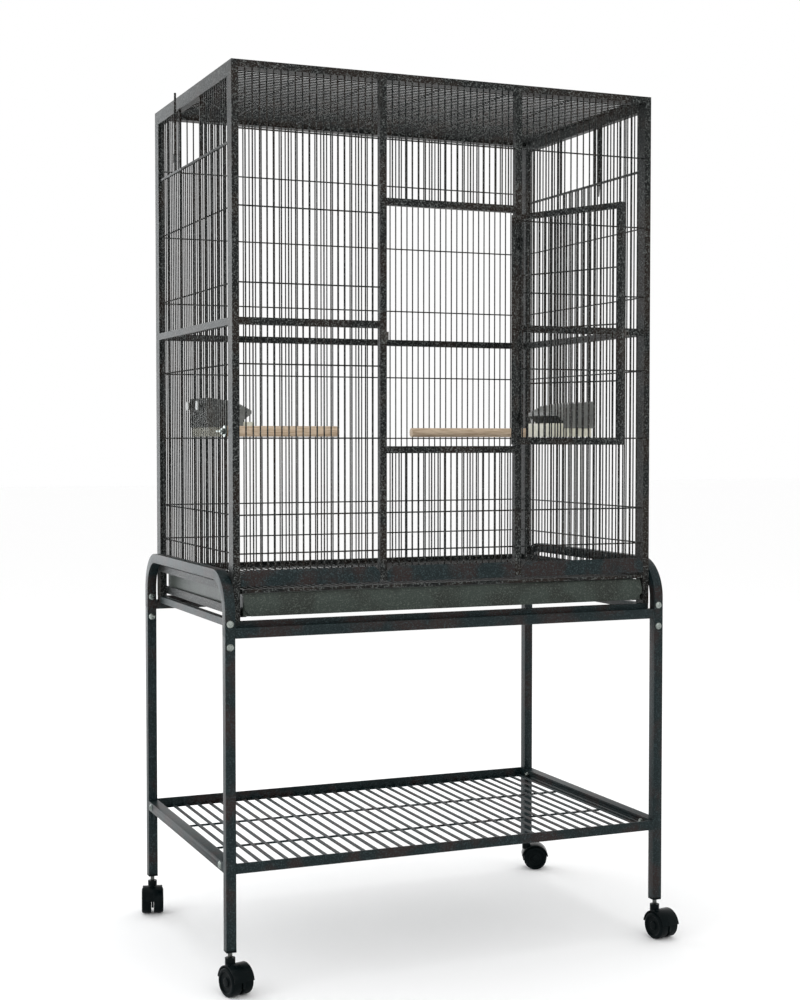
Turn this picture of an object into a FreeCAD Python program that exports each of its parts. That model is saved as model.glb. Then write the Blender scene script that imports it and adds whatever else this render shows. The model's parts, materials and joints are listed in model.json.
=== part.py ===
import FreeCAD, Part
import math
import os

os.makedirs("parts", exist_ok=True)
V = FreeCAD.Vector

# Sizes in mm. Origin on the floor under the middle of the stand: +X right, -Y front, +Z up.
cage_w = 827.0          # cage body, left to right
cage_d = 518.6          # cage body, front to back
cage_top = 1600.0       # height of the roof rim above the floor
deck_z = 639.0          # where the wire panels stand on the base frame
bar = 12.7              # square bars that frame the wire panels
slim = 4.0              # slimmer bars round the nest openings and their doors
wire = 2.6              # diameter of every wire
pitch = 13.0            # target spacing of the wires
wire_gap = 0.05         # between a vertical wire and a cross wire
mid_rail = 1150.0       # underside of the rail at half height
cross_z = (755.0, 822.0, 955.0, 1083.0, 1223.0, 1354.0, 1485.0)
roof_cross = 130.0      # target spacing of the roof's cross wires
front_low = 702.0       # underside of the front panel's bottom rail
side_low = 689.0        # underside of the side and back bottom rails

post_x = 134.0          # middle of the two inner front posts
sill_z = 928.0          # underside of the rail below the main door
head_z = 1368.0         # underside of the rail above the main door
door_gap_x = 3.75       # main door to each inner post
door_gap_low = 2.8      # main door to the rail below it
door_gap_top = 7.0      # main door to the rail above it
door_cross = (1054.0, 1152.0, 1250.0)
door_bar = 10.0         # square bars of the main door
door_open = 113.0       # main door's opening angle in the modelled pose
hinge_z = (990.0, 1310.0)
knuckle_r = 3.6
hinge_pin_r = 2.0
knuckle_h = 6.0
hinge_plate = 1.5
run_gap = 0.05          # radial clearance of every running fit
side_gap = 0.3          # clearance between moving parts that pass each other

bolt_z = 1136.0         # height of the latch bolt
bolt_r = 3.0
bolt_travel = 16.0

nest_y = (-50.0, 87.0)  # nest opening in the side panels
nest_drop = 134.0       # sill of the nest openings below the roof's top
nest_lap = 4.0          # how far a nest door laps past its opening
nest_stand = 1.0        # nest door's distance from the side panel
nest_ajar = (15.0, 29.0)
nest_pin_r = 1.5

strip_t = 1.5           # sheet thickness of strips, runners and tray
strip_z = (699.0, 727.0)
grille_z = 688.3
grille_frame = 6.0
grille_side = 3.3       # between the grille and the side panels
tray_z = 647.3
tray_top = 685.0
tray_side = 5.8         # between the tray and the side panels
tray_fold = 668.0

tube = 18.0             # square tube of the stand
wall = 1.5
stand_gap = 1.3         # between the cage body and the stand's rails
leg_gap = 2.0           # between the cage body and the legs' inner faces
leg_top = 617.0         # joint between a leg and the arch above it
arch_top = 727.0
arch_r = 66.0           # bend radius of the arch's centre line
rail_low = 612.0        # underside of the stand's front and back rails
shelf_low = 206.0       # underside of the shelf's rails
angle_t = 2.0
angle_w = 12.0
shelf_pitch = 24.5
shelf_bar_w = 6.0
shelf_bar_t = 3.0
plug_gap = 0.1
screw_r = 2.5
gusset = (18.0, 40.0, 3.0)

wheel_r = 25.0
wheel_t = 19.0
web_t = 4.0
trail = 19.0
axle_r = 3.0
hood_t = 2.7            # thickness of a hood over its wheels
stem_r = 4.0
caster_turn = {"front_left": -75.0, "back_left": -104.0, "front_right": -80.0, "back_right": -24.0}
wheel_edge = 4.0        # rounding of the wheels' outer edges
cap_t = 3.5             # closed outer end of a wheel's bore

feeder_deep = 88.0      # cup, from the side wires inwards
feeder_step = 6.0       # how far the cup stands out past the hood's lip
feeder_y = (-67.0, 60.0)
feeder_z = (958.0, 1029.0)
feeder_lip = (1000.0, 1006.0)
hood_knee = (51.0, 7.0) # where the hood's roof turns down: from the side wires, below the top
cheek_foot = 66.0       # lower edge of the cheeks, from the side wires inwards
feeder_t = 2.0
cup_h = 27.0
perch_r = 9.5
perch_z = 967.0
perch_y = 200.0
perch_len = (208.0, 291.0)

# Derived positions
grille_half = cage_w / 2 - bar - grille_side
tray_half = cage_w / 2 - bar - tray_side
screw_z = (rail_low - 15, rail_low + tube + 7)
leg_low = 2 * wheel_r + 24
boss_top = 2 * wheel_r + 10
stem_foot = 2 * wheel_r + 1
nest_low = cage_top - nest_drop
hx = cage_w / 2
hy = cage_d / 2
ix = hx - bar           # inner faces of the side panels
iy = hy - bar           # inner faces of the front and back panels
rim_z = cage_top - bar
leg_x = hx + leg_gap + tube / 2
leg_y = hy + stand_gap + tube / 2
rail_y = leg_y - tube / 2
rail_x = leg_x - tube / 2
door_hx = post_x - bar / 2 - door_gap_x
door_low = sill_z + bar + door_gap_low
door_top = head_z - door_gap_top
hinge_x = post_x - bar / 2 - door_gap_x / 2
hinge_y = -hy - knuckle_r - 0.6
nest_x = hx + nest_stand + slim / 2
nest_top = rim_z - bar
wire_out = hx - bar / 2 + (wire + wire_gap) / 2   # vertical wires' distance from the middle plane
wire_in = wire_out - wire - wire_gap


def box(x0, x1, y0, y1, z0, z1):
    """A block between two corners, in any order."""
    lo = V(min(x0, x1), min(y0, y1), min(z0, z1))
    return Part.makeBox(abs(x1 - x0), abs(y1 - y0), abs(z1 - z0), lo)


def rod(p, q, r):
    """A round bar from p to q."""
    a = V(*p)
    d = V(*q) - a
    return Part.makeCylinder(r, d.Length, a, d)


def fuse(shapes):
    return shapes[0].multiFuse(shapes[1:]) if len(shapes) > 1 else shapes[0]


def prism(points, direction):
    """A flat outline pushed along a direction."""
    loop = Part.makePolygon([V(*p) for p in points + points[:1]])
    return Part.Face(loop).extrude(V(*direction))


def mirror_x(shape):
    return shape.mirror(V(0, 0, 0), V(1, 0, 0))


def save(name, shapes):
    """Write one node: each entry of the list is one separate solid."""
    solids = [s for shape in shapes for s in shape.Solids]
    whole = Part.makeCompound(solids) if len(solids) > 1 else solids[0]
    whole.exportStep("parts/" + name + ".step")


def spread(lo, hi, step):
    """Evenly spaced places between two bars, near the wanted step."""
    n = max(1, round((hi - lo) / step))
    return [lo + (hi - lo) * i / n for i in range(1, n)]


def between(value, lo, hi, step):
    """The middle of the gap between wires that lies nearest to a value."""
    n = max(1, round((hi - lo) / step))
    size = (hi - lo) / n
    k = min(max(round((value - lo) / size - 0.5), 0), n - 1)
    return lo + size * (k + 0.5)


def hollow(x0, x1, y0, y1, z0, z1, along):
    """A square tube with open ends."""
    outer = box(x0, x1, y0, y1, z0, z1)
    w = [wall, wall, wall]
    w["xyz".index(along)] = -1.0
    return outer.cut(box(x0 + w[0], x1 - w[0], y0 + w[1], y1 - w[1], z0 + w[2], z1 - w[2]))


def wires_y(y_face, side, xs, z0, z1, crosses, x0, x1):
    """Wires of a panel that faces the front or back; cross wires lie on its inside."""
    mid = y_face - side * bar / 2
    out = mid + side * (wire + wire_gap) / 2
    inn = mid - side * (wire + wire_gap) / 2
    rods = [rod((x, out, z0 - 2), (x, out, z1 + 2), wire / 2) for x in xs]
    return rods + [rod((x0 - 2, inn, z), (x1 + 2, inn, z), wire / 2) for z in crosses]


def wires_x(ys, z0, z1, crosses, y0, y1, low=2.0):
    """Wires of the left panel; cross wires lie on its inside."""
    rods = [rod((-wire_out, y, z0 - low), (-wire_out, y, z1 + 2), wire / 2) for y in ys]
    return rods + [rod((-wire_in, y0 - 2, z), (-wire_in, y1 + 2, z), wire / 2) for z in crosses]


# ---------------------------------------------------------------- cage panels
def front_bay():
    """The left bay of the front: corner post, inner post, three rails and the wires."""
    x0 = -hx
    x1 = -post_x + bar / 2
    bars = [box(x0, x0 + bar, -hy, -iy, front_low, rim_z),
            box(x1 - bar, x1, -hy, -iy, front_low, rim_z),
            box(x0, x1, -hy, -iy, rim_z, cage_top),
            box(x0 + bar, x1 - bar, -hy, -iy, mid_rail, mid_rail + bar),
            box(x0 + bar, x1 - bar, -hy, -iy, front_low, front_low + bar)]
    xs = spread(x0 + bar, x1 - bar, pitch)
    return fuse(bars + wires_y(-hy, -1, xs, front_low + bar, rim_z, cross_z, x0 + bar, x1 - bar))


def front_panel():
    """Two side bays, and between them the parts above and below the main door."""
    x1 = post_x - bar / 2
    xs = spread(-x1, x1, pitch)
    upper = [box(-x1, x1, -hy, -iy, rim_z, cage_top), box(-x1, x1, -hy, -iy, head_z, head_z + bar)]
    upper += wires_y(-hy, -1, xs, head_z + bar, rim_z, (), 0, 0)
    lower = [box(-x1, x1, -hy, -iy, sill_z, sill_z + bar),
             box(-x1, x1, -hy, -iy, front_low, front_low + bar)]
    lower += wires_y(-hy, -1, xs, front_low + bar, sill_z, (), 0, 0)
    y = -hy + bar / 2 + (wire + wire_gap) / 2
    free = [z for z in cross_z if z > head_z + bar or z < sill_z]
    crosses = [rod((-x1, y, z), (x1, y, z), wire / 2) for z in free]
    bay = front_bay()
    feet = [box(s * hx, s * ix, -hy, -iy, deck_z, front_low) for s in (-1, 1)]
    save("front_panel", [bay, mirror_x(bay), fuse(upper), fuse(lower)] + crosses + feet)


def back_panel():
    bars = [box(s * hx, s * ix, iy, hy, side_low, rim_z) for s in (-1, 1)]
    feet = [box(s * hx, s * ix, iy, hy, deck_z, side_low) for s in (-1, 1)]
    bars += [box(-hx, hx, iy, hy, rim_z, cage_top),
             box(-ix, ix, iy, hy, mid_rail, mid_rail + bar),
             box(-ix, ix, iy, hy, side_low, side_low + bar)]
    wires = wires_y(hy, 1, spread(-ix, ix, pitch), side_low + bar, rim_z, cross_z, -ix, ix)
    save("back_panel", [fuse(bars + wires)] + feet)


def side_panel():
    """The left panel: below the nest opening, either side of it, and the rail over it."""
    y1 = iy - bar
    sill = nest_low - slim
    main = [box(-hx, -ix, s * iy, s * y1, side_low, nest_low) for s in (-1, 1)]
    feet = [box(-hx, -ix, s * iy, s * y1, deck_z, side_low) for s in (-1, 1)]
    xw = -wire_out
    main += [box(xw - slim / 2, xw + slim / 2, -y1, y1, sill, nest_low),
             box(-hx, -ix, -y1, y1, mid_rail, mid_rail + bar),
             box(-hx, -ix, -y1, y1, side_low, side_low + bar)]
    ys = spread(-y1, y1, pitch)
    main += wires_x(ys, side_low + bar, sill, [z for z in cross_z if z < sill], -y1, y1)
    solids = [fuse(main)] + feet
    for s, edge in ((-1, nest_y[0]), (1, nest_y[1])):
        part = [box(-hx, -ix, s * iy, s * y1, nest_low, rim_z),
                box(xw - slim / 2, xw + slim / 2, edge, edge + s * slim, nest_low, nest_top),
                box(-hx, -ix, edge, s * y1, nest_top, rim_z)]
        rest = [y for y in ys if s * y > s * edge + slim + wire]
        part += wires_x(rest, nest_low, nest_top, (), 0, 0, 0.0)
        solids.append(fuse(part))
    solids.append(box(-hx, -ix, nest_y[0], nest_y[1], nest_top, rim_z))
    return solids


def roof_panel():
    y1 = iy - bar
    bars = [box(-hx, hx, s * iy, s * y1, rim_z, cage_top) for s in (-1, 1)]
    bars += [box(s * hx, s * ix, -y1, y1, rim_z, cage_top) for s in (-1, 1)]
    z = rim_z + bar / 2
    up = z + (wire + wire_gap) / 2
    down = z - (wire + wire_gap) / 2
    wires = [rod((-ix - 2, y, up), (ix + 2, y, up), wire / 2) for y in spread(-y1, y1, pitch)]
    cross = [rod((x, -y1 - 2, down), (x, y1 + 2, down), wire / 2) for x in spread(-ix, ix, roof_cross)]
    save("roof_panel", [fuse(bars + wires + cross)])


# ---------------------------------------------------------------- floor of the cage
def guard_strips():
    """Three plates over the front bottom rail, upper corners cut off."""
    spans = ((-hx + bar + 0.8, -post_x - 7), (-post_x + 7, post_x - 7), (post_x + 7, hx - bar - 0.8))
    z0, z1 = strip_z
    solids = []
    for x0, x1 in spans:
        outline = [(x0, -hy, z0), (x1, -hy, z0), (x1, -hy, z1 - 10), (x1 - 10, -hy, z1),
                   (x0 + 10, -hy, z1), (x0, -hy, z1 - 10)]
        solids.append(prism(outline, (0, -strip_t, 0)))
    save("guard_strips", solids)


def runners(z_web, z_top, length):
    """A pair of angle runners inside the side panels; the flange top is at z_web + flange."""
    t = 2.0
    left = fuse([box(-ix, -ix + strip_t, -length, length, z_web, z_top),
                 box(-ix, -ix + 14.8, -length, length, z_web, z_web + t)])
    return [left, mirror_x(left)]


def floor_grille():
    """Wire floor that slides out at the front, under the guard strips."""
    w = grille_frame
    x = grille_half
    y0 = -hy - 2.7
    y1 = iy - 2.6
    z = grille_z
    bars = [box(-x, x, y0, y0 + w, z, z + w), box(-x, x, y1 - w, y1, z, z + w),
            box(-x, -x + w, y0, y1, z, z + w), box(x - w, x, y0, y1, z, z + w)]
    up = z + w / 2 + (wire + wire_gap) / 2
    down = z + w / 2 - (wire + wire_gap) / 2
    bars += [rod((v, y0 + 1, up), (v, y1 - 1, up), wire / 2) for v in spread(-x + w, x - w, pitch)]
    bars += [rod((-x + 1, v, down), (x - 1, v, down), wire / 2) for v in spread(y0 + w, y1 - w, 85.0)]
    save("floor_grille", [fuse(bars)])


def tray():
    """Pull-out tray: floor, three walls and a folded front plate, welded at their edges."""
    t = strip_t
    a = tray_half
    y0 = -hy + 1.0
    y1 = iy - 3.6
    sheets = [box(-a, a, y0 + t, y1, tray_z, tray_z + t),
              box(-a, a, y1 - t, y1, tray_z + t, tray_top),
              box(-a, -a + t, y0 + t, y1 - t, tray_z + t, tray_top),
              box(a - t, a, y0 + t, y1 - t, tray_z + t, tray_top)]
    front_wall = box(-a, a, y0, y0 + t, tray_z, tray_top)
    cut = 14.0
    low = tray_z
    top = tray_top + 1.5
    section = [(-a, y0 - 4, low), (-a, y0 - 8, tray_fold), (-a, y0, top), (-a, y0 + t, top),
               (-a, y0 + t, top - 6), (-a, y0 - 6.3, tray_fold), (-a, y0 - 2.4, low)]
    front = prism(section, (2 * a, 0, 0))
    for s in (-1, 1):
        corner = [(s * (a + 1), y0 - 20, low - 1), (s * (a - cut), y0 - 20, low - 1),
                  (s * (a + 1), y0 - 20, low + cut)]
        front = front.cut(prism(corner, (0, 19, 0)))
    lip = box(-a + cut + 2, a - cut - 2, y0 - 4, y0 + t, low, low + t)
    save("tray", sheets + [fuse([front_wall, front, lip])])


# ---------------------------------------------------------------- main door
def turned(shape, x, y, angle):
    out = shape.copy()
    out.rotate(V(x, y, 0), V(0, 0, 1), angle)
    return out


def main_door():
    """Door in its open pose; it is drawn closed and turned about the hinge."""
    x = door_hx
    b = door_bar
    back = -hy + b
    bars = [box(-x, -x + b, -hy, back, door_low, door_top), box(x - b, x, -hy, back, door_low, door_top),
            box(-x + b, x - b, -hy, back, door_low, door_low + b),
            box(-x + b, x - b, -hy, back, door_top - b, door_top)]
    xs = spread(-x + b, x - b, pitch)
    wires = wires_y(-hy, -1, xs, door_low + b, door_top - b, door_cross, -x + b, x - b)
    save("main_door", [turned(fuse(bars + wires), hinge_x, hinge_y, door_open)])


def hinges():
    """Two barrel hinges: leaves with two fixed knuckles, a door knuckle between, and a pin."""
    fixed = []
    moving = []
    pins = []
    p = hinge_plate
    for zc in hinge_z:
        h = knuckle_h
        plate = [box(hinge_x + 4.4, post_x + 6.0, -hy - p, -hy, zc - h * 1.8, zc + h * 1.8)]
        for s in (-1, 1):
            za = zc + s * (h / 2 + side_gap)
            zb = za + s * h
            plate.append(rod((hinge_x, hinge_y, min(za, zb)), (hinge_x, hinge_y, max(za, zb)), knuckle_r))
            plate.append(box(hinge_x, hinge_x + 5, -hy - p, -hy - 0.7, za, zb))
        hole = rod((hinge_x, hinge_y, zc - 30), (hinge_x, hinge_y, zc + 30), hinge_pin_r)
        fixed.append(fuse(plate).cut(hole))
        leaf = [box(hinge_x - 21, hinge_x - 4.4, -hy - p, -hy, zc - h * 1.8, zc + h * 1.8),
                rod((hinge_x, hinge_y, zc - h / 2), (hinge_x, hinge_y, zc + h / 2), knuckle_r),
                box(hinge_x - 5, hinge_x, -hy - p, -hy - 0.7, zc - h / 2, zc + h / 2)]
        hole = rod((hinge_x, hinge_y, zc - 30), (hinge_x, hinge_y, zc + 30), hinge_pin_r + run_gap)
        moving.append(turned(fuse(leaf).cut(hole), hinge_x, hinge_y, door_open))
        low = zc - h * 1.5 - side_gap
        pin = fuse([rod((hinge_x, hinge_y, low - 1), (hinge_x, hinge_y, zc + h * 1.5 + side_gap), hinge_pin_r),
                    rod((hinge_x, hinge_y, zc + h * 1.5 + side_gap),
                        (hinge_x, hinge_y, zc + h * 1.5 + side_gap + 1.6), hinge_pin_r + 1.0)])
        pins.append(pin)
    save("door_hinge_fixed", fixed)
    save("door_hinge_moving", moving)
    save("door_hinge_pins", pins)


def latch():
    """Slide bolt on the door's free stile, and the keeper on the inner post."""
    x = -door_hx
    y = -hy
    yb = y - 8.5
    r = bolt_r
    plate = [box(x + 1, x + 15, y - 2, y, bolt_z - 26, bolt_z + 26)]
    for xa in (x + 1, x + 12):
        plate.append(box(xa, xa + 3, yb - 5, y - 2, bolt_z - 5.5, bolt_z + 5.5))
    bracket = fuse(plate).cut(rod((x - 20, yb, bolt_z), (x + 40, yb, bolt_z), r + run_gap))
    x_in = x + 18.5 + bolt_travel
    bolt = fuse([rod((x + 4, yb, bolt_z), (x_in, yb, bolt_z), r),
                 rod((x_in - 3, yb, bolt_z), (x_in, yb, bolt_z), r + 2.2),
                 rod((x_in - 0.6, yb, bolt_z), (x_in - 0.6, yb - 13, bolt_z), 2.2)])
    save("latch_bracket", [turned(bracket, hinge_x, hinge_y, door_open)])
    save("latch_bolt", [turned(bolt, hinge_x, hinge_y, door_open)])
    px = -post_x
    keeper = fuse([box(px - 5.5, px + 5.5, y - 2, y, bolt_z - 13, bolt_z + 13),
                   box(px - 2, px + 4, yb - 6, y - 2, bolt_z - 7, bolt_z + 7)])
    save("latch_keeper", [keeper.cut(rod((px - 30, yb, bolt_z), (px + 30, yb, bolt_z), r + side_gap))])


# ---------------------------------------------------------------- nest doors
def nest_door(hinge_end):
    """Left door, closed: hinged at the y given by hinge_end (0 front edge, 1 back edge)."""
    y0 = nest_y[0] - nest_lap
    y1 = nest_y[1] + nest_lap
    z0 = nest_low - nest_lap
    z1 = nest_top + nest_lap
    x0 = -nest_x - slim / 2
    x1 = -nest_x + slim / 2
    bars = [box(x0, x1, y0, y0 + slim, z0, z1), box(x0, x1, y1 - slim, y1, z0, z1),
            box(x0, x1, y0 + slim, y1 - slim, z0, z0 + slim), box(x0, x1, y0 + slim, y1 - slim, z1 - slim, z1)]
    bars += [rod((-nest_x, y, z0 + slim - 2), (-nest_x, y, z1 - slim + 2), wire / 2)
             for y in spread(y0 + slim, y1 - slim, pitch)]
    s = 1 if hinge_end else -1
    edge = y1 if hinge_end else y0
    ya = edge + s * 4
    solid = fuse(bars)
    for zc in nest_hinge_heights():
        knuckle = fuse([rod((-nest_x, ya, zc - 3), (-nest_x, ya, zc + 3), nest_pin_r + 1.7),
                        box(-nest_x - 1.5, -nest_x + 1.5, edge - s, ya, zc - 3, zc + 3)])
        hole = rod((-nest_x, ya, zc - 5), (-nest_x, ya, zc + 5), nest_pin_r + run_gap)
        solid = solid.fuse(knuckle).cut(hole)
    return solid, ya


def nest_hinge_heights():
    return (nest_low + 20, nest_top - 14)


def nest_lugs(ya):
    """Fixed knuckles above and below each door knuckle, and the pins through them."""
    lugs = []
    pins = []
    for zc in nest_hinge_heights():
        for s in (-1, 1):
            za = zc + s * (3 + side_gap)
            zb = za + s * 5
            lug = fuse([rod((-nest_x, ya, min(za, zb)), (-nest_x, ya, max(za, zb)), nest_pin_r + 1.7),
                        box(-hx, -nest_x, ya - 2, ya + 2, za, zb)])
            lugs.append(lug.cut(rod((-nest_x, ya, zc - 30), (-nest_x, ya, zc + 30), nest_pin_r)))
        low = zc - 8 - side_gap
        pins.append(rod((-nest_x, ya, low - 0.5), (-nest_x, ya, zc + 8.5 + side_gap), nest_pin_r))
    return lugs, pins


def nest_doors():
    left, ya = nest_door(1)
    save("nest_door_left", [turned(left, -nest_x, ya, -nest_ajar[0])])
    lugs, pins = nest_lugs(ya)
    right, yb = nest_door(0)
    save("nest_door_right", [turned(mirror_x(right), nest_x, yb, -nest_ajar[1])])
    more_lugs, more_pins = nest_lugs(yb)
    save("nest_hinge_lugs", lugs + [mirror_x(s) for s in more_lugs])
    save("nest_hinge_pins", pins + [mirror_x(s) for s in more_pins])


# ---------------------------------------------------------------- feeders and perches
def feeders():
    """Left feeder: an open cup, and the smoky hood that stands over its back and sides."""
    x0 = -ix + 0.8
    x1 = x0 + feeder_deep
    y0, y1 = feeder_y
    z0, z1 = feeder_z
    t = feeder_t
    rim = z0 + cup_h
    inner = t + side_gap
    cup = box(x0 + inner, x1, y0 + inner, y1 - inner, z0, rim)
    cup = cup.cut(box(x0 + inner + t, x1 - t, y0 + inner + t, y1 - inner - t, z0 + t, rim + 1))
    foot = x0 + cheek_foot
    lip = x1 - feeder_step
    knee = (x0 + hood_knee[0], z1 - hood_knee[1])
    under, over = feeder_lip
    cheek = [(x0, y0, rim - 10), (foot, y0, rim - 10), (foot, y0, rim + 3), (lip, y0, under),
             (lip, y0, over), (knee[0], y0, knee[1]), (x0, y0, z1)]
    skin = [(x0, y0, z1 - t), (knee[0] - 0.5, y0, knee[1] - t), (lip - t, y0, over - 1.5), (lip - t, y0, under),
            (lip, y0, under), (lip, y0, over), (knee[0], y0, knee[1]), (x0, y0, z1)]
    hood = [prism(cheek, (0, t, 0)), prism([(x, y1 - t, z) for x, y, z in cheek], (0, t, 0)),
            prism(skin, (0, y1 - y0, 0)), box(x0, x0 + t, y0, y1, rim - 10, z1 - t)]
    for y in (y0 + inner, y1 - inner - t):
        hood.append(box(x0 + t, foot, y - side_gap, y + t + side_gap, rim, rim + t))
    peg_z = z1 - 14
    span = iy - bar
    for y in (y0 + 30, y1 - 30):
        yp = between(y, -span, span, pitch)
        hood.append(rod((x0 + 1, yp, peg_z), (-wire_out - wire / 2 - 0.1, yp, peg_z), 3.0))
        hood.append(rod((-wire_out - wire / 2 - 0.1, yp, peg_z), (-wire_out - wire / 2 - 3.1, yp, peg_z), 9.0))
    hood = fuse(hood)
    save("feeder_hood_left", [hood])
    save("feeder_hood_right", [mirror_x(hood)])
    save("feeder_cup_left", [cup])
    save("feeder_cup_right", [mirror_x(cup)])


def perches():
    """Two dowels, each held through its side panel by a screw, a washer and a wing nut."""
    span = iy - bar
    end = wire_out - wire / 2
    out = wire_out + wire / 2
    fixings = []
    for s, length, side in ((-1, perch_len[0], "left"), (1, perch_len[1], "right")):
        y = between(s * perch_y, -span, span, pitch)
        dowel = rod((s * end, y, perch_z), (s * (end - length), y, perch_z), perch_r)
        hole = rod((s * (end + 1), y, perch_z), (s * (end - 30), y, perch_z), screw_r)
        save("perch_" + side, [dowel.cut(hole)])
        fixings.append(rod((s * (out + 9), y, perch_z), (s * (end - 30), y, perch_z), screw_r))
        washer = rod((s * out, y, perch_z), (s * (out + 1.5), y, perch_z), 10.0)
        nut = fuse([rod((s * (out + 1.5), y, perch_z), (s * (out + 6.5), y, perch_z), 5.5),
                    box(s * (out + 3.5), s * (out + 12), y - 13, y - 4.5, perch_z - 1.2, perch_z + 1.2),
                    box(s * (out + 3.5), s * (out + 12), y + 4.5, y + 13, perch_z - 1.2, perch_z + 1.2)])
        bore = rod((s * (out - 1), y, perch_z), (s * (out + 20), y, perch_z), screw_r + run_gap)
        fixings += [washer.cut(bore), nut.cut(bore)]
    save("perch_fixings", fixings)


# ---------------------------------------------------------------- stand
def corners():
    return (("front_left", -1, -1), ("front_right", 1, -1), ("back_left", -1, 1), ("back_right", 1, 1))


def screw_hole(sx, sy, z, r):
    """A hole along Y through the front wall of a leg or arch."""
    y = sy * leg_y
    return rod((sx * leg_x, y - tube / 2 - 1, z), (sx * leg_x, y - 1, z), r)


def legs():
    h = tube / 2
    for name, sx, sy in corners():
        x = sx * leg_x
        y = sy * leg_y
        leg = hollow(x - h, x + h, y - h, y + h, leg_low, leg_top, "z")
        save("leg_" + name, [leg.cut(screw_hole(sx, sy, screw_z[0], screw_r + plug_gap))])


def sweep(size, z0):
    """A square section swept up one leg, over the bend, across and down again."""
    zc = arch_top - tube / 2
    r = arch_r
    k = r * (1 - math.sqrt(0.5))
    a = [V(0, -leg_y, z0), V(0, -leg_y, zc - r), V(0, -leg_y + k, zc - k), V(0, -leg_y + r, zc)]
    b = [V(0, leg_y - r, zc), V(0, leg_y - k, zc - k), V(0, leg_y, zc - r), V(0, leg_y, z0)]
    path = Part.Wire([Part.makeLine(a[0], a[1]), Part.Arc(a[1], a[2], a[3]).toShape(),
                      Part.makeLine(a[3], b[0]), Part.Arc(b[0], b[1], b[2]).toShape(),
                      Part.makeLine(b[2], b[3])])
    s = size / 2
    pts = [V(-s, -leg_y - s, z0), V(s, -leg_y - s, z0), V(s, -leg_y + s, z0), V(-s, -leg_y + s, z0)]
    return path.makePipeShell([Part.makePolygon(pts + pts[:1])], True, True)


def arches():
    skin = sweep(tube, leg_top).cut(sweep(tube - 2 * wall, leg_top))
    for side, sx in (("left", -1), ("right", 1)):
        arch = skin.translated(V(sx * leg_x, 0, 0))
        for sy in (-1, 1):
            arch = arch.cut(screw_hole(sx, sy, screw_z[1], screw_r + plug_gap))
        save("arch_" + side, [arch])


def domed(r, head_r, head_h, length):
    """A screw along +Y whose domed head stands in front of y = 0."""
    big = (head_r ** 2 + head_h ** 2) / (2 * head_h)
    ball = Part.makeSphere(big, V(0, big - head_h, 0))
    head = ball.common(box(-head_r, head_r, -head_h, 0, -head_r, head_r))
    screw = fuse([head, rod((0, 0, 0), (0, length, 0), r)])
    a = head_r * 0.5
    b = head_r * 0.13
    for across, up in ((a, b), (b, a)):
        screw = screw.cut(box(-across, across, -head_h - 1, -head_h * 0.45, -up, up))
    return screw


def connectors():
    """Plugs inside the tubes at the joints, and the screws that hold them."""
    h = tube / 2 - wall - plug_gap
    plugs = []
    screws = []
    for name, sx, sy in corners():
        x = sx * leg_x
        y = sy * leg_y
        plug = box(x - h, x + h, y - h, y + h, leg_top - 34, leg_top + 34)
        for z in screw_z:
            plug = plug.cut(screw_hole(sx, sy, z, screw_r))
            screw = domed(screw_r, 6.8, 3.2, tube / 2 - 1.2)
            screws.append(screw.translated(V(x, y - tube / 2, z)))
        plugs.append(plug)
    save("tube_connectors", plugs)
    save("leg_screws", screws)


def stand_rails():
    z0 = rail_low
    z1 = z0 + tube
    front = hollow(-rail_x, rail_x, -rail_y - tube, -rail_y, z0, z1, "x")
    back = hollow(-rail_x, rail_x, rail_y, rail_y + tube, z0, z1, "x")
    save("stand_cross_rails", [front, back])
    w = 22.0
    t = angle_t
    top = deck_z - bar
    strips = []
    for s in (-1, 1):
        strips.append(box(-rail_x, rail_x, s * rail_y, s * (rail_y - w), top - t, top))
    save("stand_ledges", strips)


def cage_base():
    """The tube frame under the cage body; it stands on the two ledges."""
    z0 = deck_z - bar
    x = hx - 0.5
    bars = [hollow(-x, x, -hy, -iy, z0, deck_z, "x"), hollow(-x, x, iy, hy, z0, deck_z, "x"),
            hollow(-x, -x + bar, -iy, iy, z0, deck_z, "y"), hollow(x - bar, x, -iy, iy, z0, deck_z, "y")]
    save("cage_base_frame", bars)


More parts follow.
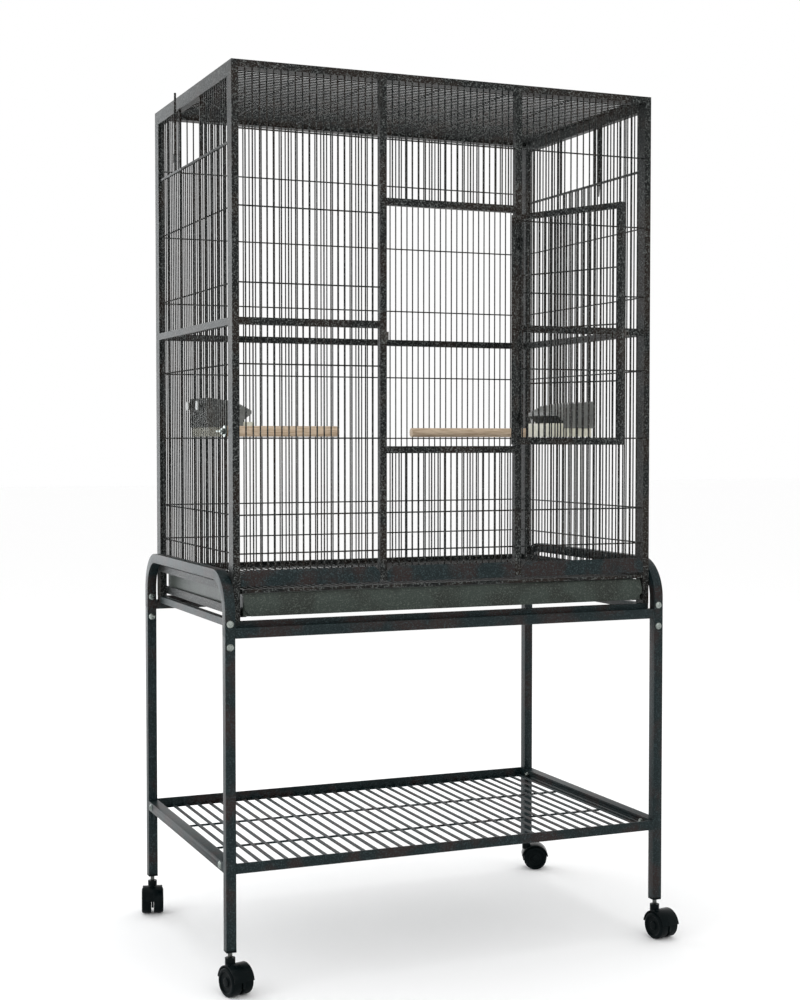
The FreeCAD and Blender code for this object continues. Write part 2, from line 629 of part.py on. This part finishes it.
def shelf():
    z0 = shelf_low
    z1 = z0 + tube
    y_bolt = rail_y - 20
    zc = z0 + tube / 2
    bores = [rod((-leg_x - tube, s * y_bolt, zc), (-rail_x + 10, s * y_bolt, zc), axle_r + plug_gap)
             for s in (-1, 1)]
    left = hollow(-rail_x - tube, -rail_x, -rail_y, rail_y, z0, z1, "y").cut(Part.makeCompound(bores))
    save("shelf_side_rails", [left, mirror_x(left)])
    t = angle_t
    w = angle_w
    ye = rail_y + tube
    x = rail_x
    ends = [fuse([box(-x, x, s * ye, s * (ye - t), z0, z1), box(-x, x, s * ye, s * (ye - w), z0, z0 + t)])
            for s in (-1, 1)]
    side = fuse([box(-x, -x + t, -ye + t, ye - t, z0, z1), box(-x, -x + w, -ye + w, ye - w, z0, z0 + t)])
    side = side.cut(Part.makeCompound(bores))
    side = side.cut(Part.makeCompound([box(-x, x, s * ye, s * (ye - w), z0, z0 + t) for s in (-1, 1)]))
    save("shelf_frame", ends + [side, mirror_x(side)])
    n = round(2 * (x - w - 5) / shelf_pitch)
    half = n * shelf_pitch / 2
    yb = ye - t - 0.5
    bars = [box(-half + i * shelf_pitch - shelf_bar_w / 2, -half + i * shelf_pitch + shelf_bar_w / 2,
                -yb, yb, z0 + t, z0 + t + shelf_bar_t) for i in range(n + 1)]
    reach = min(half + 3, x - w - 0.5)
    bars += [rod((-reach, y, z0 + t - 1.5), (reach, y, z0 + t - 1.5), 2.0) for y in (-92.0, 92.0)]
    save("shelf_grille", [fuse(bars)])
    bolts = []
    nuts = []
    for sx in (-1, 1):
        for sy in (-1, 1):
            bolt = domed(axle_r, 7.0, 3.6, tube + t + 7)
            bolt.rotate(V(0, 0, 0), V(0, 0, 1), -90 if sx < 0 else 90)
            bolts.append(bolt.translated(V(sx * (leg_x + tube / 2), sy * y_bolt, zc)))
            nut = rod((sx * (x - t), sy * y_bolt, zc), (sx * (x - t - 5), sy * y_bolt, zc), 5.5)
            nuts.append(nut.cut(rod((sx * x, sy * y_bolt, zc), (sx * (x - 20), sy * y_bolt, zc), axle_r + run_gap)))
    save("shelf_bolts", bolts)
    save("shelf_nuts", nuts)


def gussets():
    """Plates with a curved edge between the shelf rails and the legs below them."""
    w, h, t = gusset
    solids = []
    for name, sx, sy in corners():
        y = sy * rail_y
        yi = y - sy * w
        x = sx * leg_x - t / 2
        a = V(x, y, shelf_low)
        b = V(x, y, shelf_low - h)
        c = V(x, yi, shelf_low)
        m = V(x, y - sy * w * 0.3, shelf_low - h * 0.46)
        edge = Part.Wire([Part.makeLine(a, b), Part.Arc(b, m, c).toShape(), Part.makeLine(c, a)])
        solids.append(Part.Face(edge).extrude(V(t, 0, 0)))
    save("shelf_gussets", solids)


# ---------------------------------------------------------------- casters
def caster(name, sx, sy):
    """One swivel caster, drawn trailing along +X from its stem and then turned."""
    g = 1.3
    xc = trail
    zc = wheel_r

    def disc(r, y0, y1):
        return rod((xc, y0, zc), (xc, y1, zc), r)

    half = web_t / 2 + 0.5 + wheel_t
    shell = disc(wheel_r + g + hood_t, -half + 2, half - 2).cut(disc(wheel_r + g, -half, half))
    shell = shell.cut(box(-60, 90, -60, 60, -20, zc + 4))
    web = disc(wheel_r + g + 0.5, -web_t / 2, web_t / 2).cut(box(-60, 90, -60, 60, -20, zc - 9))
    boss = rod((0, 0, zc + 18), (0, 0, boss_top), 9.0).cut(disc(wheel_r + g, -40, 40))
    hood = fuse([shell, web, boss])
    hood = hood.cut(disc(axle_r, -40, 40)).cut(rod((0, 0, stem_foot), (0, 0, leg_low), stem_r))
    wheels = []
    for s in (-1, 1):
        a = s * (web_t / 2 + 0.5)
        b = a + s * wheel_t
        tyre = disc(wheel_r, a, b)
        rims = [e for e in tyre.Edges if e.BoundBox.YLength < 0.01 and abs(e.BoundBox.YMin - b) < 0.01]
        tyre = tyre.makeFillet(wheel_edge, rims)
        dish = disc(wheel_r - 7, b - s * 2.5, b + s).cut(disc(8.0, b - s * 3, b + s * 2))
        wheels.append(tyre.cut(dish).cut(disc(axle_r + run_gap, -half + cap_t - 0.3, half - cap_t + 0.3)))
    axle = disc(axle_r, -half + cap_t, half - cap_t)
    stem = rod((0, 0, stem_foot), (0, 0, leg_low + 14), stem_r)
    where = V(sx * leg_x, sy * leg_y, 0)
    for kind, solids in (("hood", [hood]), ("wheels", wheels), ("stem_axle", [stem, axle])):
        placed = [turned(s, 0, 0, caster_turn[name]).translated(where) for s in solids]
        save("caster_" + name + "_" + kind, placed)


def caster_plugs():
    """Plastic plugs in the legs' lower ends that carry the caster stems."""
    solids = []
    h = tube / 2
    i = h - wall - plug_gap
    for name, sx, sy in corners():
        x = sx * leg_x
        y = sy * leg_y
        plug = fuse([box(x - h, x + h, y - h, y + h, leg_low - 4, leg_low),
                     box(x - i, x + i, y - i, y + i, leg_low, leg_low + 22)])
        solids.append(plug.cut(rod((x, y, leg_low - 10), (x, y, leg_low + 15), stem_r + run_gap)))
    save("caster_plugs", solids)


def build():
    front_panel()
    back_panel()
    left = side_panel()
    save("side_panel_left", left)
    save("side_panel_right", [mirror_x(s) for s in left])
    roof_panel()
    guard_strips()
    save("grille_runners", runners(grille_z - side_gap - 2.0, side_low + bar - 0.7, iy - 6))
    save("tray_runners", runners(tray_z - side_gap - 2.0, tray_z + 13, iy))
    floor_grille()
    tray()
    main_door()
    hinges()
    latch()
    nest_doors()
    feeders()
    perches()
    legs()
    arches()
    connectors()
    stand_rails()
    cage_base()
    shelf()
    gussets()
    for name, sx, sy in corners():
        caster(name, sx, sy)
    caster_plugs()


build()
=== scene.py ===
import json
import math

import bpy
from mathutils import Matrix, Vector


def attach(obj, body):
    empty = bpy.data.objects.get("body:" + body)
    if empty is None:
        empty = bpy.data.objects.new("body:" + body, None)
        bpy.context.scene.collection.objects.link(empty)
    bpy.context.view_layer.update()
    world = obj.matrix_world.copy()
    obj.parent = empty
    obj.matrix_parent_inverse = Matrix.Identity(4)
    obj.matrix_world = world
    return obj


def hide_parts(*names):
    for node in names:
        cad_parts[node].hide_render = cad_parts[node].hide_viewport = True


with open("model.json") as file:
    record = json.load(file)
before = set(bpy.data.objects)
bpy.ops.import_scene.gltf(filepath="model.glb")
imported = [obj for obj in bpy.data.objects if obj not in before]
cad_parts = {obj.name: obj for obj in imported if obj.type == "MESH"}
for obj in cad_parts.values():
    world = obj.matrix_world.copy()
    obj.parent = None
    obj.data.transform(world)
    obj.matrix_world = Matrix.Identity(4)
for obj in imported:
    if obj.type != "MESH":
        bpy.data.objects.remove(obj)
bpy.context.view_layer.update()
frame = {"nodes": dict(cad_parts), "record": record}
nodes = frame["nodes"]
record = frame["record"]

MM = 0.001
ROOT = "cage_and_stand"
BODY_OF = {node: body for body, names in record["behaviour"]["bodies"].items() for node in names}
CORNERS = ("front_left", "front_right", "back_left", "back_right")
SIDES = ("left", "right")


# ------------------------------------------------------------------ camera and studio
SENSOR_WIDTH = 36.0
LENS = 59.16
CAMERA_PLACE = (-1.2397, -2.9675, 0.9532)
CAMERA_TURN = -22.78    # degrees from straight ahead along +Y; below zero is towards +X
CAMERA_DIP = 2.12       # degrees below level
CAMERA_REACH = 60.0
FLOOR_SIZE = 60.0
FLOOR_DROP = 0.5 * MM   # keeps the floor clear of the wheels that stand on it


def photographer():
    """A longish lens to the left of the cage, a little above half its height."""
    cam = bpy.data.objects.new("camera", bpy.data.cameras.new("camera"))
    bpy.context.collection.objects.link(cam)
    cam.data.sensor_width = SENSOR_WIDTH
    cam.data.lens = LENS
    cam.data.clip_end = CAMERA_REACH
    cam.location = CAMERA_PLACE
    turn = Matrix.Rotation(math.radians(CAMERA_TURN), 4, "Z")
    nod = Matrix.Rotation(math.radians(90 - CAMERA_DIP), 4, "X")
    cam.rotation_euler = (turn @ nod).to_euler()
    bpy.context.scene.camera = cam


def lamp(name, place, aim, size, power, colour=(1, 1, 1)):
    """A soft rectangular light that the camera itself doesn't see."""
    data = bpy.data.lights.new(name, "AREA")
    data.shape = "RECTANGLE"
    data.size, data.size_y = size
    data.energy = power
    data.color = colour
    obj = bpy.data.objects.new(name, data)
    bpy.context.collection.objects.link(obj)
    obj.location = place
    obj.rotation_euler = (Vector(aim) - Vector(place)).to_track_quat("-Z", "Y").to_euler()
    obj.visible_camera = False


def studio():
    """White surroundings, four soft lights and a white paper floor."""
    world = bpy.data.worlds.new("studio")
    bpy.context.scene.world = world
    world.use_nodes = True
    backdrop = world.node_tree.nodes["Background"]
    backdrop.inputs["Color"].default_value = (1, 1, 1, 1)
    backdrop.inputs["Strength"].default_value = 1.0
    lamp("left_window", place=(-3.4, -0.6, 2.0), aim=(0, 0, 0.9), size=(2.4, 2.4),
         power=25, colour=(0.95, 0.97, 1.0))
    lamp("back_window", place=(-1.7, 3.3, 1.2), aim=(-0.3, 0, 0.9), size=(2.0, 2.2),
         power=34, colour=(0.93, 0.97, 1.0))
    lamp("top_box", place=(0.2, 0.4, 4.2), aim=(0, 0, 1.0), size=(2.4, 2.4), power=26)
    lamp("front_box", place=(0.4, -3.8, 2.6), aim=(0, 0, 0.6), size=(2.2, 2.2), power=22)
    bpy.ops.mesh.primitive_plane_add(size=FLOOR_SIZE, location=(0, 0, -FLOOR_DROP))
    floor = bpy.context.object
    floor.name = "floor"
    floor.data.materials.append(Finish("paper", (0.985, 0.985, 0.985), rough=0.8).mat)
    view = bpy.context.scene.view_settings
    view.view_transform = "Standard"
    view.look = "None"


# ------------------------------------------------------------------ shader arithmetic
class Value:
    """One number that varies over a surface, for use in plain arithmetic."""

    def __init__(self, tree, socket):
        self.tree = tree
        self.socket = socket

    def _join(self, operation, other):
        node = self.tree.nodes.new("ShaderNodeMath")
        node.operation = operation
        for place, item in zip(node.inputs, (self, other)):
            if isinstance(item, Value):
                self.tree.links.new(item.socket, place)
            else:
                place.default_value = item
        return Value(self.tree, node.outputs[0])

    def __add__(self, other):
        return self._join("ADD", other)

    def __mul__(self, other):
        return self._join("MULTIPLY", other)

    __radd__ = __add__
    __rmul__ = __mul__


class Finish:
    """A material with one Principled shader, and a method that adds any other node."""

    COLOUR_A, COLOUR_B, COLOUR_OUT = 6, 7, 2    # a Mix node's colour sockets share their names

    def __init__(self, name, colour, rough, metal=0.0, **constants):
        self.mat = bpy.data.materials.new(name)
        self.mat.use_nodes = True
        self.tree = self.mat.node_tree
        self.shader = self.tree.nodes["Principled BSDF"]
        self.shader.inputs["Base Color"].default_value = (*colour, 1)
        self.shader.inputs["Roughness"].default_value = rough
        self.shader.inputs["Metallic"].default_value = metal
        for key, value in constants.items():
            self.shader.inputs[key.replace("_", " ")].default_value = value

    def node(self, kind, settings=None, inputs=None, out=0):
        """Any node: its settings first, then a value or a link for each input."""
        made = self.tree.nodes.new(kind)
        for key, value in (settings or {}).items():
            setattr(made, key, value)
        for key, value in (inputs or {}).items():
            if isinstance(value, Value):
                self.tree.links.new(value.socket, made.inputs[key])
            else:
                made.inputs[key].default_value = value
        return Value(self.tree, made.outputs[out])

    def place(self, stretch=(1, 1, 1)):
        """The piece's own coordinates in metres, stretched."""
        coords = self.node("ShaderNodeTexCoord", out="Object")
        return self.node("ShaderNodeMapping", inputs={"Vector": coords, "Scale": stretch})

    def noise(self, scale, detail, where=None):
        return self.node("ShaderNodeTexNoise", inputs={
            "Vector": where or self.place(), "Scale": scale, "Detail": detail})

    def cells(self, scale):
        return self.node("ShaderNodeTexVoronoi", {"feature": "SMOOTH_F1"}, {
            "Vector": self.place(), "Scale": scale, "Smoothness": 0.6})

    def mask(self, value, low, high):
        """Nothing below low, everything above high, and a soft step between."""
        return self.node("ShaderNodeMapRange", {"interpolation_type": "SMOOTHSTEP"}, {
            "Value": value, "From Min": low, "From Max": high})

    def mix(self, factor, first, second):
        """A blend of two colours, each plain or itself varying."""
        first, second = (c if isinstance(c, Value) else (*c, 1) for c in (first, second))
        return self.node("ShaderNodeMix", {"data_type": "RGBA"}, {
            "Factor": factor, self.COLOUR_A: first, self.COLOUR_B: second}, self.COLOUR_OUT)

    def feed(self, **links):
        for key, value in links.items():
            self.tree.links.new(value.socket, self.shader.inputs[key.replace("_", " ")])

    def bump(self, height, depth, strength):
        self.feed(Normal=self.node("ShaderNodeBump", inputs={
            "Height": height, "Distance": depth, "Strength": strength}))


# ------------------------------------------------------------------ finishes
# A texture's scale is in features per metre, and a bump's depth is in metres.
def hammertone(name, dark, fleck, warm, fine=230.0, bumps=0.5, gloss=0.14):
    """Powder coat that dries in small dimples, with grey-green flecks and brown patches."""
    f = Finish(name, dark, 0.4, Specular_IOR_Level=gloss)
    dimples = f.cells(fine)
    grit = f.noise(fine * 1.7, 3)
    patches = f.mask(f.noise(14, 3), 0.46, 0.62)
    flecks = f.mask(grit + dimples * 0.35, 0.66, 0.9)
    f.feed(Base_Color=f.mix(flecks * 0.85, f.mix(patches, dark, warm), fleck))
    f.feed(Roughness=0.26 + grit * 0.3)
    f.bump(dimples * 0.7 + grit * 0.3, 0.9 * MM, bumps)
    return f.mat


def plastic(name, colour, rough, **constants):
    """Moulded plastic with a fine grain, worn a little lighter in patches."""
    f = Finish(name, colour, rough, **constants)
    grain = f.noise(900, 2)
    wear = f.noise(25, 4)
    lighter = tuple(min(1.0, c * 1.3 + 0.003) for c in colour)
    f.feed(Base_Color=f.mix(f.mask(wear, 0.45, 0.7), colour, lighter))
    f.feed(Roughness=(rough - 0.06) + wear * 0.14)
    f.bump(grain, 0.12 * MM, 0.5)
    return f.mat


def zinc(name, bright, stained):
    """Plated steel: a faint spangle in its gloss, and darker stains."""
    f = Finish(name, bright, 0.28, metal=1.0)
    spangle = f.cells(420)
    stain = f.noise(90, 3)
    f.feed(Base_Color=f.mix(f.mask(stain, 0.4, 0.7), bright, stained))
    f.feed(Roughness=0.18 + spangle * 0.25)
    f.bump(stain, 0.1 * MM, 0.4)
    return f.mat


def dowel():
    """Plain birch: long grain along the perch, with a few darker streaks."""
    f = Finish("perch_wood", (0.6, 0.42, 0.26), 0.55)
    grain = f.noise(5, 5, f.place((6, 90, 90)))
    pores = f.noise(16, 3, f.place((10, 220, 220)))
    tint = f.mix(f.mask(grain, 0.35, 0.68), (0.64, 0.5, 0.36), (0.43, 0.31, 0.2))
    f.feed(Base_Color=f.mix(f.mask(pores, 0.58, 0.75) * 0.5, tint, (0.3, 0.18, 0.1)))
    f.feed(Roughness=0.45 + pores * 0.2)
    f.bump(grain * 0.6 + pores * 0.4, 0.4 * MM, 0.6)
    return f.mat


def finishes():
    """Every finish on the cage and its stand, by a short name."""
    soot, rust, ebony = (0.003, 0.004, 0.004), (0.01, 0.006, 0.004), (0.001, 0.003, 0.0035)
    return {
        "cage": hammertone("cage_coat", dark=soot, fleck=(0.13, 0.14, 0.135), warm=rust,
                           fine=320.0, gloss=0.1),
        "grille": hammertone("grille_coat", dark=soot, fleck=(0.1, 0.11, 0.105), warm=rust,
                             gloss=0.12),
        "stand": hammertone("stand_coat", dark=(0.003, 0.009, 0.01),
                            fleck=(0.034, 0.052, 0.056), warm=(0.016, 0.009, 0.008),
                            fine=380.0, bumps=0.4, gloss=0.16),
        "tray": hammertone("tray_coat", dark=(0.03, 0.039, 0.033),
                           fleck=(0.075, 0.088, 0.075), warm=(0.02, 0.024, 0.02),
                           fine=330.0, bumps=0.25),
        "latch": hammertone("latch_metal", dark=(0.03, 0.032, 0.032),
                            fleck=(0.15, 0.17, 0.16), warm=(0.04, 0.035, 0.03)),
        "steel": zinc("zinc", bright=(0.3, 0.33, 0.31), stained=(0.12, 0.14, 0.13)),
        "dull": zinc("dull_zinc", bright=(0.1, 0.105, 0.1), stained=(0.04, 0.042, 0.04)),
        "smoky": plastic("smoky_plastic", (0.17, 0.175, 0.165), rough=0.28,
                         Alpha=0.86, Specular_IOR_Level=0.35),
        "pale": plastic("cup_plastic", (0.6, 0.585, 0.48), rough=0.32),
        "black": plastic("caster_plastic", ebony, rough=0.26, Specular_IOR_Level=0.06),
        "tread": plastic("wheel_plastic", ebony, rough=0.4, Specular_IOR_Level=0.05),
        "wood": dowel(),
    }


# ------------------------------------------------------------------ working on pieces
WELD = 0.02 * MM                # points nearer than this are one
FLAT = math.radians(0.6)        # faces this close to level with each other are merged
SHARP = math.radians(40)        # an edge that turns more than this is rounded
SMOOTH = math.radians(35)       # and one that turns less than this is shaded smooth


def pick(obj):
    """Only this object is selected and active."""
    for other in list(bpy.context.selected_objects):
        other.select_set(False)
    obj.select_set(True)
    bpy.context.view_layer.objects.active = obj


def rounded(node, finish, width, segments=2):
    """A finished copy of a CAD piece with its sharp edges rounded off by width."""
    obj = bpy.data.objects.new(node + "_finished", nodes[node].data.copy())
    bpy.context.collection.objects.link(obj)
    pick(obj)
    bpy.ops.object.mode_set(mode="EDIT")
    bpy.ops.mesh.select_all(action="SELECT")
    bpy.ops.mesh.remove_doubles(threshold=WELD)
    bpy.ops.mesh.dissolve_limited(angle_limit=FLAT)
    bpy.ops.object.mode_set(mode="OBJECT")
    edge = obj.modifiers.new("edge", "BEVEL")
    edge.width = width
    edge.segments = segments
    edge.limit_method = "ANGLE"
    edge.angle_limit = SHARP
    bpy.ops.object.modifier_apply(modifier=edge.name)
    bpy.ops.object.shade_smooth_by_angle(angle=SMOOTH)
    obj.data.materials.clear()
    obj.data.materials.append(finish)
    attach(obj, BODY_OF.get(node, ROOT))
    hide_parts(node)


def coat(node, finish):
    """Keeps a CAD piece's own shape and gives it a finish."""
    mesh = nodes[node].data
    mesh.materials.clear()
    mesh.materials.append(finish)


# ------------------------------------------------------------------ the pieces
def paint_cage(looks):
    """Wire panels, doors and hinges, the floor grille, the tray and the strips over it."""
    for node in ("front_panel", "back_panel", "side_panel_left", "side_panel_right",
                 "main_door", "nest_door_left", "nest_door_right", "door_hinge_fixed",
                 "door_hinge_moving", "nest_hinge_lugs", "grille_runners", "tray_runners"):
        coat(node, looks["cage"])
    for node in ("roof_panel", "floor_grille"):
        coat(node, looks["grille"])
    for node in ("door_hinge_pins", "nest_hinge_pins"):
        coat(node, looks["steel"])
    coat("tray", looks["tray"])
    rounded("guard_strips", looks["stand"], 0.5 * MM)


def paint_latch(looks):
    for node in ("latch_bracket", "latch_bolt", "latch_keeper"):
        rounded(node, looks["latch"], 0.5 * MM)


def paint_feeders_and_perches(looks):
    for side in SIDES:
        rounded("feeder_hood_" + side, looks["smoky"], 0.7 * MM)
        rounded("feeder_cup_" + side, looks["pale"], 0.7 * MM)
        rounded("perch_" + side, looks["wood"], 1.2 * MM)
    rounded("perch_fixings", looks["steel"], 0.4 * MM)


def paint_stand(looks):
    """The tube frame, its shelf, and the screws and nuts that hold them."""
    for node in ("stand_ledges", "cage_base_frame", "tube_connectors"):
        coat(node, looks["stand"])
    for node in [*("leg_" + corner for corner in CORNERS), "arch_left", "arch_right"]:
        rounded(node, looks["stand"], 2.2 * MM, 3)
    for node in ("stand_cross_rails", "shelf_side_rails"):
        rounded(node, looks["stand"], 1.8 * MM)
    for node in ("shelf_frame", "shelf_grille", "shelf_gussets"):
        rounded(node, looks["stand"], 0.4 * MM, 1)
    for node in ("leg_screws", "shelf_bolts"):
        rounded(node, looks["steel"], 0.4 * MM)
    coat("shelf_nuts", looks["steel"])


def paint_casters(looks):
    rounded("caster_plugs", looks["black"], 0.7 * MM)
    for corner in CORNERS:
        rounded("caster_" + corner + "_hood", looks["black"], 0.9 * MM)
        rounded("caster_" + corner + "_wheels", looks["tread"], 1.6 * MM, 3)
        rounded("caster_" + corner + "_stem_axle", looks["dull"], 0.5 * MM)


photographer()
studio()
looks = finishes()
paint_cage(looks)
paint_latch(looks)
paint_feeders_and_perches(looks)
paint_stand(looks)
paint_casters(looks)
